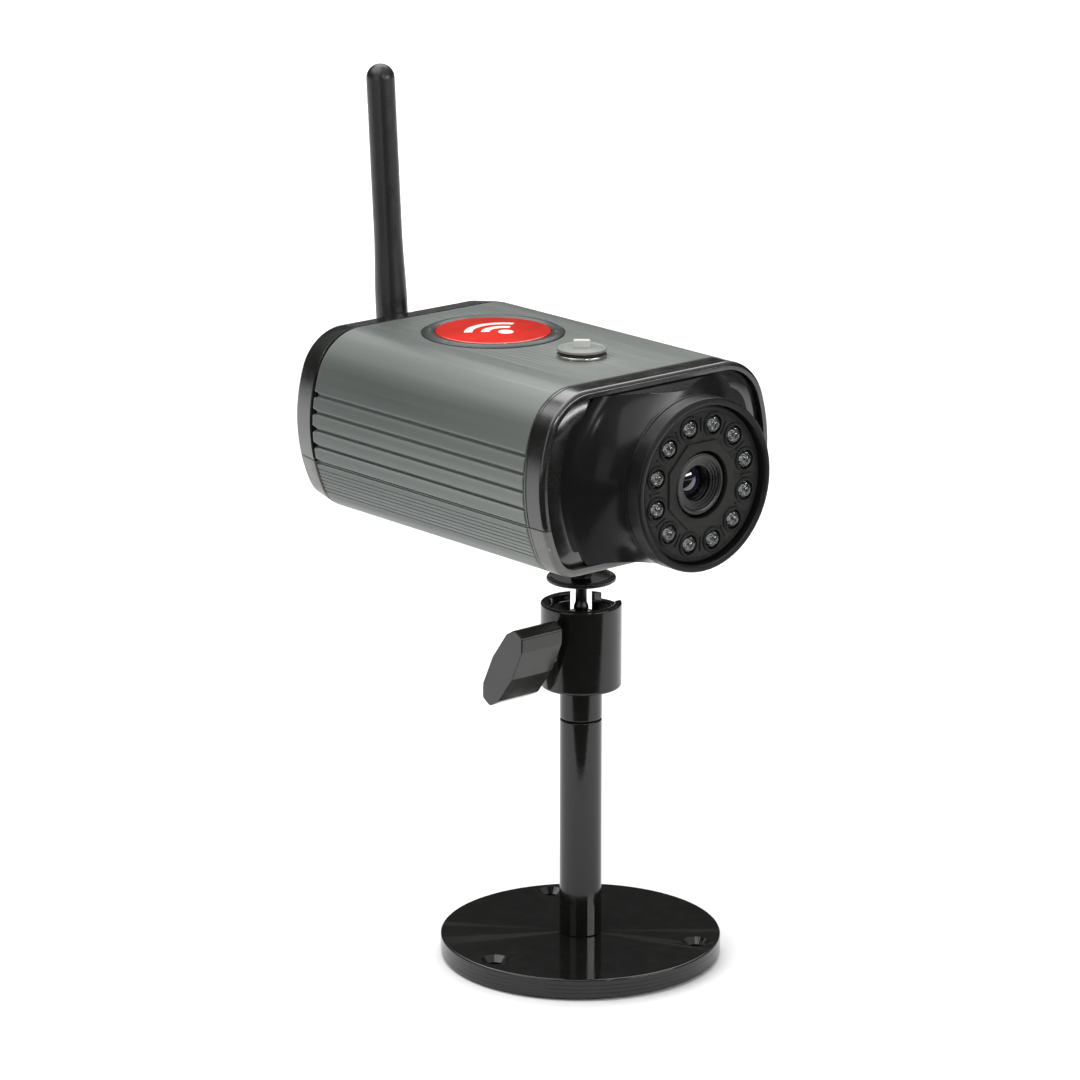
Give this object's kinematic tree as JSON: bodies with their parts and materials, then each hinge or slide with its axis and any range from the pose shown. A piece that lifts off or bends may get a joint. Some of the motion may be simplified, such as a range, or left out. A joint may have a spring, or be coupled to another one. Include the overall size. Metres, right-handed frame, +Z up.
{
  "type": "security camera",
  "caption": "Box-shaped wireless security camera with infrared lamps round the lens, a rod antenna and a ball-head desk stand.",
  "frame": {"origin": "centre of the underside of the base pad, on the post's axis", "axes": "+Z up along the post, the lens looks along -Y, +X to the camera's left"},
  "size_m": [0.084, 0.1427, 0.2454],
  "materials": {
    "rubber_pad": "matt",
    "stand_paint": "gloss black paint",
    "clamp_paint": "satin black paint",
    "steel": "plated",
    "dark_steel": "blackened",
    "chrome": "polished",
    "brass": "satin",
    "knob_plastic": "satin moulded",
    "housing_alloy": "grey anodised, brushed along its length",
    "bezel_gloss": "gloss black",
    "trim_grey": "satin grey",
    "barrel_satin": "satin black",
    "plate_matt": "matt black",
    "lamp_clear": "clear epoxy",
    "circuit_board": "green solder mask",
    "lens_black": "black anodised",
    "lens_glass": "coated",
    "sensor_glass": "coated",
    "chip_black": "moulded",
    "nickel": "nickel plated",
    "cable_white": "flat flexible cable",
    "cable_black": "cable jacket",
    "button_grey": "satin",
    "antenna_black": "satin",
    "badge_rim": "satin dark grey",
    "badge_red": "domed gloss with a plain white signal sign",
    "plug_grey": "satin"
  },
  "bodies": {
    "stand": {"base_pad": "rubber_pad", "base_plate": "stand_paint", "base_screw": "steel", "post": "stand_paint", "clamp_cup": "clamp_paint"},
    "shoe": {"clamp_shoe": "brass"},
    "wing_screw": {"clamp_screw": "steel", "thumb_knob": "knob_plastic"},
    "ball": {"ball": "chrome"},
    "stud": {"ball_stud": "dark_steel"},
    "lock_disc": {"lock_disc": "clamp_paint"},
    "camera": {"housing_upper": "housing_alloy", "housing_lower": "housing_alloy", "front_bezel": "bezel_gloss", "front_trim": "trim_grey", "front_panel": "bezel_gloss", "barrel_ring": "barrel_satin", "lamp_plate": "plate_matt", "lamp_01": "lamp_clear", "lamp_02": "lamp_clear", "lamp_03": "lamp_clear", "lamp_04": "lamp_clear", "lamp_05": "lamp_clear", "lamp_06": "lamp_clear", "lamp_07": "lamp_clear", "lamp_08": "lamp_clear", "lamp_09": "lamp_clear", "lamp_10": "lamp_clear", "lamp_11": "lamp_clear", "lamp_12": "lamp_clear", "lamp_board": "circuit_board", "lens_holder": "plate_matt", "sensor_board": "circuit_board", "image_sensor": "sensor_glass", "main_board": "circuit_board", "processor": "chip_black", "radio_module": "nickel", "sensor_cable": "cable_white", "antenna_lead": "cable_black", "rear_bezel": "bezel_gloss", "rear_trim": "trim_grey", "rear_panel": "plate_matt", "network_socket": "nickel", "power_socket": "chip_black", "panel_screw_left": "steel", "panel_screw_right": "steel", "antenna_socket": "brass", "badge_ring": "badge_rim", "badge_disc": "badge_red", "top_mount": "nickel", "lower_mount": "nickel", "plug_washer": "rubber_pad"},
    "lens": {"lens_barrel": "lens_black", "lens_ring": "lens_black", "lens_glass": "lens_glass"},
    "reset_button": {"reset_button": "button_grey"},
    "antenna_elbow": {"antenna_elbow": "antenna_black", "antenna_pin": "steel"},
    "antenna_rod": {"antenna_rod": "antenna_black"},
    "top_plug": {"top_plug": "plug_grey"}
  },
  "joints": [
    {"name": "shoe_travel", "type": "slide", "parent": "stand", "child": "shoe", "axis": [-1, 0, 0], "range_m": [0, 0.0008]},
    {"name": "wing_screw_turn", "type": "hinge", "parent": "shoe", "child": "wing_screw", "pos_m": [-0.02, 0, 0.0907], "axis": [-1, 0, 0], "range_deg": [0, 360]},
    {"name": "ball_tilt", "type": "hinge", "parent": "stand", "child": "ball", "pos_m": [0, 0, 0.0955], "axis": [1, 0, 0], "range_deg": [-27, 27]},
    {"name": "ball_roll", "type": "hinge", "parent": "ball", "child": "stud", "pos_m": [0, 0, 0.0955], "axis": [0, 1, 0], "range_deg": [-27, 27]},
    {"name": "camera_pan", "type": "hinge", "parent": "stud", "child": "camera", "pos_m": [0, 0, 0.124], "axis": [0, 0, 1], "continuous": true},
    {"name": "lock_disc_travel", "type": "slide", "parent": "stud", "child": "lock_disc", "axis": [0, 0, 1], "range_m": [0, 0.0105]},
    {"name": "focus_turn", "type": "hinge", "parent": "camera", "child": "lens", "pos_m": [0, -0.045, 0.1484], "axis": [0, 1, 0], "range_deg": [-180, 180]},
    {"name": "reset_press", "type": "slide", "parent": "camera", "child": "reset_button", "axis": [0, -1, 0], "range_m": [0, 0.0008], "stiffness_N_per_m": 400},
    {"name": "antenna_swivel", "type": "hinge", "parent": "camera", "child": "antenna_elbow", "pos_m": [0, 0.075, 0.156], "axis": [0, 1, 0], "continuous": true},
    {"name": "antenna_fold", "type": "hinge", "parent": "antenna_elbow", "child": "antenna_rod", "pos_m": [0, 0.0823, 0.156], "axis": [-1, 0, 0], "range_deg": [0, 86.4]},
    {"name": "plug_turn", "type": "hinge", "parent": "camera", "child": "top_plug", "pos_m": [0, 0, 0.177], "axis": [0, 0, 1], "range_deg": [0, 360]}
  ],
  "couplings": [
    {"joint": "wing_screw_turn", "follows": "shoe_travel", "rad_per_m": 7854}
  ]
}
